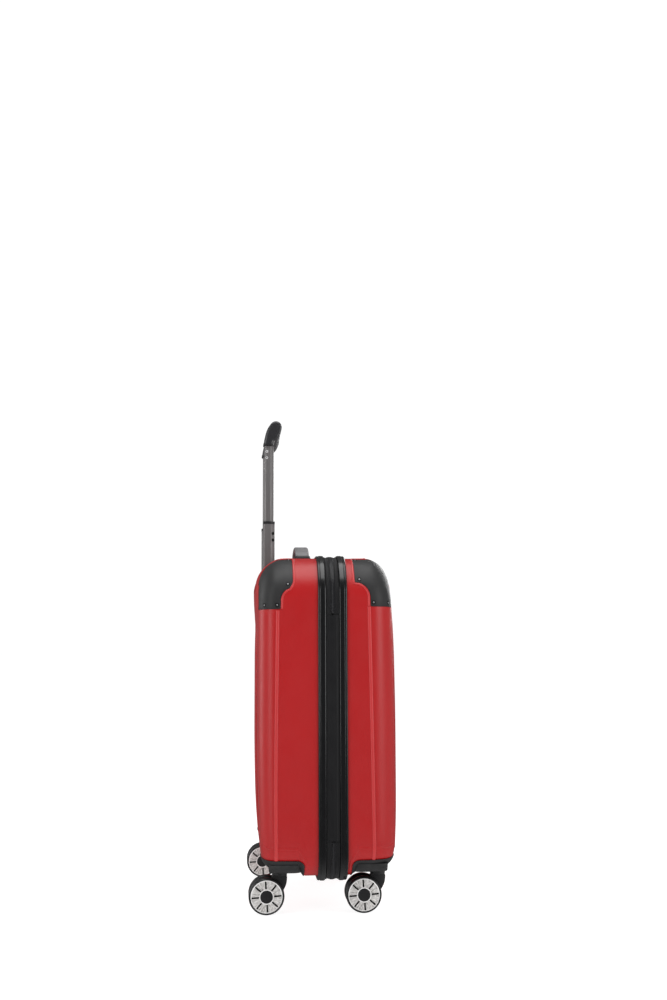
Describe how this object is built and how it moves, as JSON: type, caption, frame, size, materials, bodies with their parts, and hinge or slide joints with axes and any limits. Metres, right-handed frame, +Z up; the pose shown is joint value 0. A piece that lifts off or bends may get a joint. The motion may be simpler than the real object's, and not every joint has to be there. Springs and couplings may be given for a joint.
{
  "type": "hard shell suitcase",
  "caption": "Red hard-shell cabin suitcase: two hinged half shells zipped together, corner guards, twin-wheel swivel casters and a two-stage telescopic trolley handle.",
  "frame": {"origin": "on the floor, under the middle of the whole object (side handle and trailing wheels included)", "axes": "+Z up; -Y the way the front shell faces; -X the hinge side, +X the lock and side-handle side"},
  "size_m": [0.428, 0.2282, 0.7852],
  "materials": {
    "red_shell": "fine-textured polycarbonate-ABS shell, satin gloss",
    "charcoal_guard": "satin moulded plastic",
    "black_rim": "glossy extruded frame",
    "black_fabric": "woven polyester",
    "gunmetal_tube": "anodised, satin",
    "dark_plastic": "satin moulded plastic",
    "soft_grip": "soft-touch rubber",
    "wheel": "polyurethane tyre on a nylon hub with a brushed trim disc",
    "steel": "plated",
    "lining": "grey polyester lining"
  },
  "bodies": {
    "case": {"back_shell": "red_shell", "back_rim": "black_rim", "back_zip_tape": "black_fabric", "hinge_strip": "black_fabric", "handle_well": "dark_plastic", "tube_bracket": "dark_plastic", "outer_tube_hinge_side": "gunmetal_tube", "outer_tube_lock_side": "gunmetal_tube", "top_handle_base": "dark_plastic", "side_handle_base": "dark_plastic", "corner_guard_back_hinge_side": "charcoal_guard", "corner_guard_back_lock_side": "charcoal_guard", "caster_housing_back_hinge_side": "charcoal_guard", "caster_housing_back_lock_side": "charcoal_guard", "packing_strap_upper": "black_fabric", "packing_strap_lower": "black_fabric", "strap_buckle_upper": "dark_plastic", "strap_buckle_lower": "dark_plastic"},
    "front_half": {"front_shell": "red_shell", "front_rim": "black_rim", "front_zip_tape": "black_fabric", "divider_panel": "lining", "lock_body": "black_rim", "corner_guard_front_hinge_side": "charcoal_guard", "corner_guard_front_lock_side": "charcoal_guard", "caster_housing_front_hinge_side": "charcoal_guard", "caster_housing_front_lock_side": "charcoal_guard"},
    "middle_stage": {"middle_tube_hinge_side": "gunmetal_tube", "middle_tube_lock_side": "gunmetal_tube"},
    "grip_stage": {"inner_tube_hinge_side": "gunmetal_tube", "inner_tube_lock_side": "gunmetal_tube", "grip": "dark_plastic"},
    "release_button": {"release_button": "dark_plastic"},
    "top_handle": {"top_handle": "soft_grip"},
    "side_handle": {"side_handle": "soft_grip"},
    "lock_slide": {"lock_slide": "dark_plastic"},
    "zip_slider_upper": {"zip_slider_upper": "steel"},
    "zip_slider_lower": {"zip_slider_lower": "steel"},
    "zip_pull_upper": {"zip_pull_upper": "steel"},
    "zip_pull_lower": {"zip_pull_lower": "steel"},
    "lock_dial_1": {"lock_dial_1": "dark_plastic"},
    "lock_dial_2": {"lock_dial_2": "dark_plastic"},
    "lock_dial_3": {"lock_dial_3": "dark_plastic"},
    "caster_back_hinge_side": {"caster_fork_back_hinge_side": "dark_plastic", "axle_back_hinge_side": "steel"},
    "wheel_back_hinge_side_outer": {"wheel_back_hinge_side_outer": "wheel"},
    "wheel_back_hinge_side_inner": {"wheel_back_hinge_side_inner": "wheel"},
    "caster_back_lock_side": {"caster_fork_back_lock_side": "dark_plastic", "axle_back_lock_side": "steel"},
    "wheel_back_lock_side_outer": {"wheel_back_lock_side_outer": "wheel"},
    "wheel_back_lock_side_inner": {"wheel_back_lock_side_inner": "wheel"},
    "caster_front_hinge_side": {"caster_fork_front_hinge_side": "dark_plastic", "axle_front_hinge_side": "steel"},
    "wheel_front_hinge_side_outer": {"wheel_front_hinge_side_outer": "wheel"},
    "wheel_front_hinge_side_inner": {"wheel_front_hinge_side_inner": "wheel"},
    "caster_front_lock_side": {"caster_fork_front_lock_side": "dark_plastic", "axle_front_lock_side": "steel"},
    "wheel_front_lock_side_outer": {"wheel_front_lock_side_outer": "wheel"},
    "wheel_front_lock_side_inner": {"wheel_front_lock_side_inner": "wheel"}
  },
  "joints": [
    {"name": "front_shell_hinge", "type": "hinge", "parent": "case", "child": "front_half", "pos_m": [-0.215, -0.01375, 0.3], "axis": [0, 0, -1], "range_deg": [0, 180]},
    {"name": "middle_stage_slide", "type": "slide", "parent": "case", "child": "middle_stage", "axis": [0, 0, 1], "range_m": [-0.106, 0.15]},
    {"name": "grip_stage_slide", "type": "slide", "parent": "middle_stage", "child": "grip_stage", "axis": [0, 0, 1], "range_m": [-0.126, 0.105]},
    {"name": "release_button_press", "type": "slide", "parent": "grip_stage", "child": "release_button", "axis": [0, 0, -1], "range_m": [0, 0.002], "stiffness_N_per_m": 500},
    {"name": "top_handle_lift", "type": "slide", "parent": "case", "child": "top_handle", "axis": [0, 0, 1], "range_m": [0, 0.01], "stiffness_N_per_m": 400},
    {"name": "side_handle_lift", "type": "slide", "parent": "case", "child": "side_handle", "axis": [1, 0, 0], "range_m": [0, 0.01], "stiffness_N_per_m": 400},
    {"name": "lock_slide_push", "type": "slide", "parent": "front_half", "child": "lock_slide", "axis": [0, 0, 1], "range_m": [0, 0.006], "stiffness_N_per_m": 200},
    {"name": "zip_slider_upper_travel", "type": "slide", "parent": "case", "child": "zip_slider_upper", "axis": [0, 0, 1], "range_m": [0, 0.13]},
    {"name": "zip_slider_lower_travel", "type": "slide", "parent": "case", "child": "zip_slider_lower", "axis": [0, 0, -1], "range_m": [0, 0.13]},
    {"name": "zip_pull_upper_swing", "type": "hinge", "parent": "zip_slider_upper", "child": "zip_pull_upper", "pos_m": [0.1961, -0.01375, 0.34], "axis": [0, -1, 0], "range_deg": [0, 165]},
    {"name": "zip_pull_lower_swing", "type": "hinge", "parent": "zip_slider_lower", "child": "zip_pull_lower", "pos_m": [0.1961, -0.01375, 0.288], "axis": [0, -1, 0], "range_deg": [0, 165]},
    {"name": "lock_dial_1_turn", "type": "hinge", "parent": "front_half", "child": "lock_dial_1", "pos_m": [0.1831, -0.05525, 0.275], "axis": [0, 0, 1], "continuous": true},
    {"name": "lock_dial_2_turn", "type": "hinge", "parent": "front_half", "child": "lock_dial_2", "pos_m": [0.1831, -0.05525, 0.286], "axis": [0, 0, 1], "continuous": true},
    {"name": "lock_dial_3_turn", "type": "hinge", "parent": "front_half", "child": "lock_dial_3", "pos_m": [0.1831, -0.05525, 0.297], "axis": [0, 0, 1], "continuous": true},
    {"name": "caster_swivel_back_hinge_side", "type": "hinge", "parent": "case", "child": "caster_back_hinge_side", "pos_m": [-0.1595, 0.06605, 0.06], "axis": [0, 0, 1], "continuous": true},
    {"name": "wheel_spin_back_hinge_side_outer", "type": "hinge", "parent": "caster_back_hinge_side", "child": "wheel_back_hinge_side_outer", "pos_m": [-0.1724, 0.08625, 0.0275], "axis": [1, 0, 0], "continuous": true},
    {"name": "wheel_spin_back_hinge_side_inner", "type": "hinge", "parent": "caster_back_hinge_side", "child": "wheel_back_hinge_side_inner", "pos_m": [-0.1466, 0.08625, 0.0275], "axis": [1, 0, 0], "continuous": true},
    {"name": "caster_swivel_back_lock_side", "type": "hinge", "parent": "case", "child": "caster_back_lock_side", "pos_m": [0.1365, 0.06605, 0.06], "axis": [0, 0, 1], "continuous": true},
    {"name": "wheel_spin_back_lock_side_outer", "type": "hinge", "parent": "caster_back_lock_side", "child": "wheel_back_lock_side_outer", "pos_m": [0.1494, 0.08625, 0.0275], "axis": [1, 0, 0], "continuous": true},
    {"name": "wheel_spin_back_lock_side_inner", "type": "hinge", "parent": "caster_back_lock_side", "child": "wheel_back_lock_side_inner", "pos_m": [0.1236, 0.08625, 0.0275], "axis": [1, 0, 0], "continuous": true},
    {"name": "caster_swivel_front_hinge_side", "type": "hinge", "parent": "front_half", "child": "caster_front_hinge_side", "pos_m": [-0.1595, -0.08605, 0.06], "axis": [0, 0, 1], "continuous": true},
    {"name": "wheel_spin_front_hinge_side_outer", "type": "hinge", "parent": "caster_front_hinge_side", "child": "wheel_front_hinge_side_outer", "pos_m": [-0.1724, -0.06315, 0.0275], "axis": [1, 0, 0], "continuous": true},
    {"name": "wheel_spin_front_hinge_side_inner", "type": "hinge", "parent": "caster_front_hinge_side", "child": "wheel_front_hinge_side_inner", "pos_m": [-0.1466, -0.06315, 0.0275], "axis": [1, 0, 0], "continuous": true},
    {"name": "caster_swivel_front_lock_side", "type": "hinge", "parent": "front_half", "child": "caster_front_lock_side", "pos_m": [0.1365, -0.08605, 0.06], "axis": [0, 0, 1], "continuous": true},
    {"name": "wheel_spin_front_lock_side_outer", "type": "hinge", "parent": "caster_front_lock_side", "child": "wheel_front_lock_side_outer", "pos_m": [0.1494, -0.06315, 0.0275], "axis": [1, 0, 0], "continuous": true},
    {"name": "wheel_spin_front_lock_side_inner", "type": "hinge", "parent": "caster_front_lock_side", "child": "wheel_front_lock_side_inner", "pos_m": [0.1236, -0.06315, 0.0275], "axis": [1, 0, 0], "continuous": true}
  ]
}
